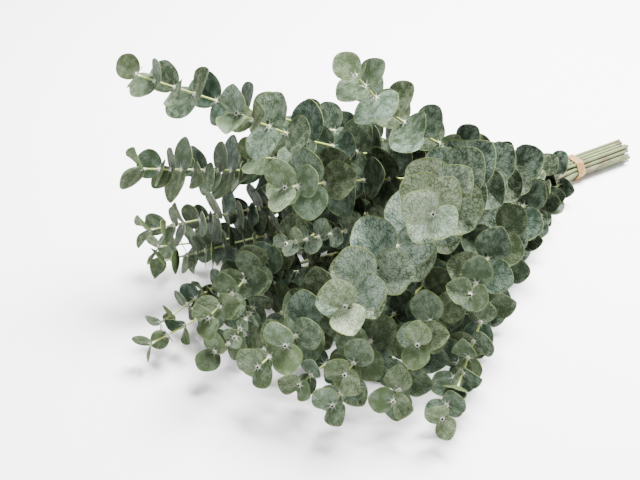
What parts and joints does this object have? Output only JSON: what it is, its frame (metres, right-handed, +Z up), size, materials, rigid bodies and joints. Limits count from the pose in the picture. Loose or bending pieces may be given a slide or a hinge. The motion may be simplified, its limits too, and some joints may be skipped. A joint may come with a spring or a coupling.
{
  "type": "eucalyptus bunch",
  "caption": "Bunch of leafy eucalyptus stems with round grey-green leaves in pairs, lying on a table and held by a band near the cut ends.",
  "frame": {"origin": "on the table, at the middle of the flat underside of the tie", "axes": "+Z up from the table; the leafy stems fan out from the tie towards -X and -Y, and the cut ends point towards +X and +Y"},
  "size_m": [0.5216, 0.4736, 0.2442],
  "materials": {
    "eucalyptus_foliage": "matt, waxy bloom",
    "tie_rubber": "matt"
  },
  "bodies": {
    "root": {"leafy_stem_01": "eucalyptus_foliage", "leafy_stem_02": "eucalyptus_foliage", "leafy_stem_03": "eucalyptus_foliage", "leafy_stem_04": "eucalyptus_foliage", "leafy_stem_05": "eucalyptus_foliage", "leafy_stem_06": "eucalyptus_foliage", "leafy_stem_07": "eucalyptus_foliage", "leafy_stem_08": "eucalyptus_foliage", "leafy_stem_09": "eucalyptus_foliage", "leafy_stem_10": "eucalyptus_foliage", "leafy_stem_11": "eucalyptus_foliage", "leafy_stem_12": "eucalyptus_foliage", "leafy_stem_13": "eucalyptus_foliage", "leafy_stem_14": "eucalyptus_foliage", "leafy_stem_15": "eucalyptus_foliage", "leafy_stem_16": "eucalyptus_foliage", "leafy_stem_17": "eucalyptus_foliage", "leafy_stem_18": "eucalyptus_foliage", "leafy_stem_19": "eucalyptus_foliage", "leafy_stem_20": "eucalyptus_foliage", "leafy_stem_21": "eucalyptus_foliage", "leafy_stem_22": "eucalyptus_foliage", "leafy_stem_23": "eucalyptus_foliage", "leafy_stem_24": "eucalyptus_foliage", "tie": "tie_rubber"}
  },
  "joints": []
}
